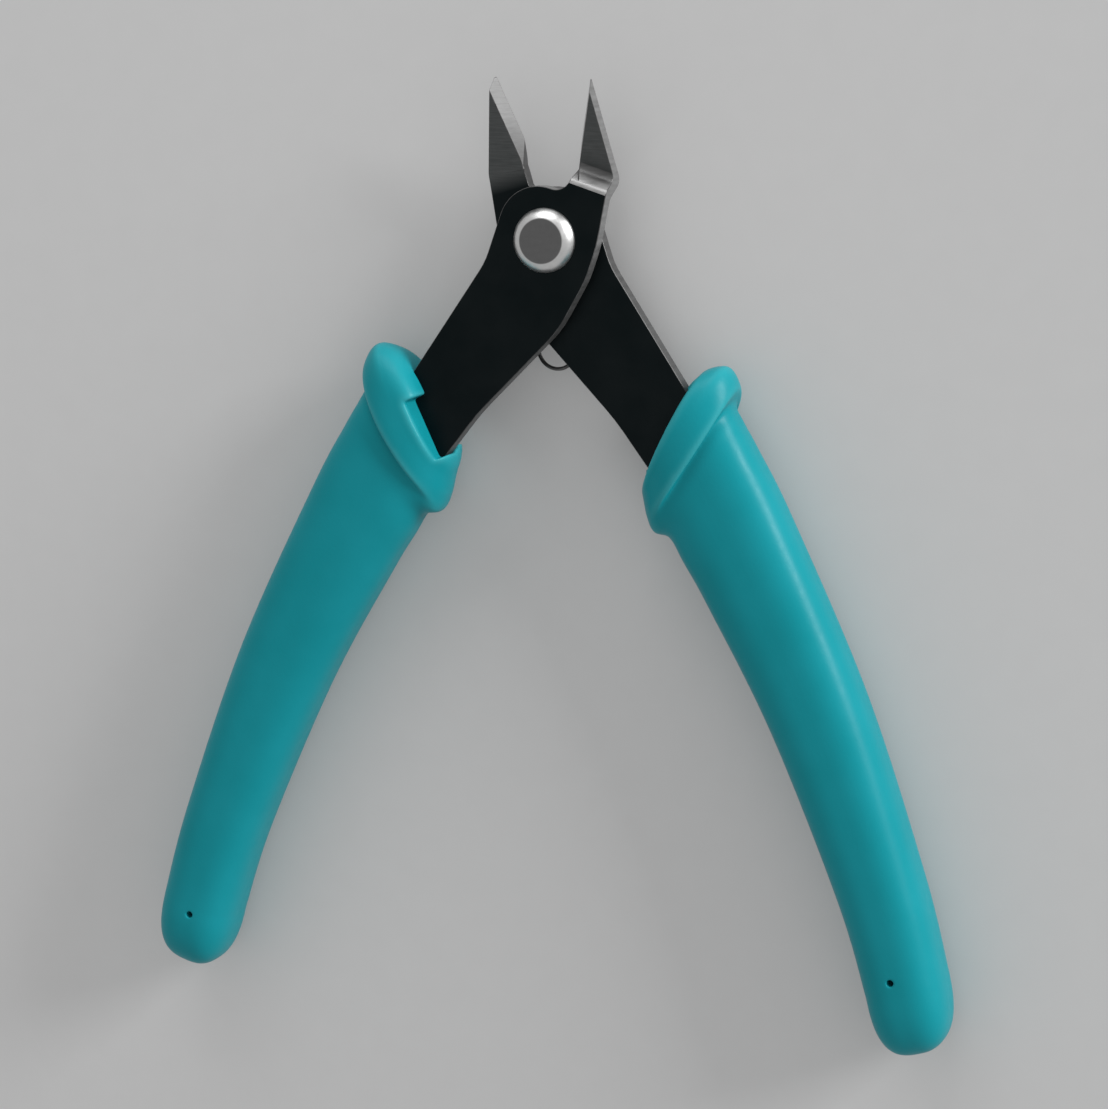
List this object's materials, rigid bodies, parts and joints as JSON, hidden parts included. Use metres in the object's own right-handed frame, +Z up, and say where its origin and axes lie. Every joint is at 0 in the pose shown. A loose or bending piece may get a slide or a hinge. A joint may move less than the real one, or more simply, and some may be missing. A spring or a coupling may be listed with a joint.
{
  "type": "flush cutter",
  "caption": "Micro flush cutter: lapped steel halves on a rivet, forward-leaning jaws, a wire loop spring that opens them, and slip-on grips with an oblique collar.",
  "frame": {"origin": "middle of the box of the open tool, on the bench that it lies on", "axes": "+Y along the tool towards the jaws, +X to the right grip, +Z up from the bench, out of the front of the tool"},
  "size_m": [0.1081, 0.1198, 0.0116],
  "materials": {
    "black_steel": "black oxide, with the cutting bevels ground bright",
    "rivet_steel": "bright turned steel",
    "spring_wire": "drawn spring wire",
    "teal_grip": "satin moulded vinyl"
  },
  "bodies": {
    "front": {"front_half": "black_steel", "pivot_rivet": "rivet_steel", "pivot_washer": "rivet_steel", "return_spring": "spring_wire", "left_grip": "teal_grip"},
    "rear": {"rear_half": "black_steel", "right_grip": "teal_grip"}
  },
  "joints": [
    {"name": "jaw_pivot", "type": "hinge", "parent": "front", "child": "rear", "pos_m": [0, 0.03986, 0.00555], "axis": [0, 0, -1], "range_deg": [0, 33.9], "stiffness_Nm_per_rad": 0.03, "deforming": ["return_spring"]}
  ]
}
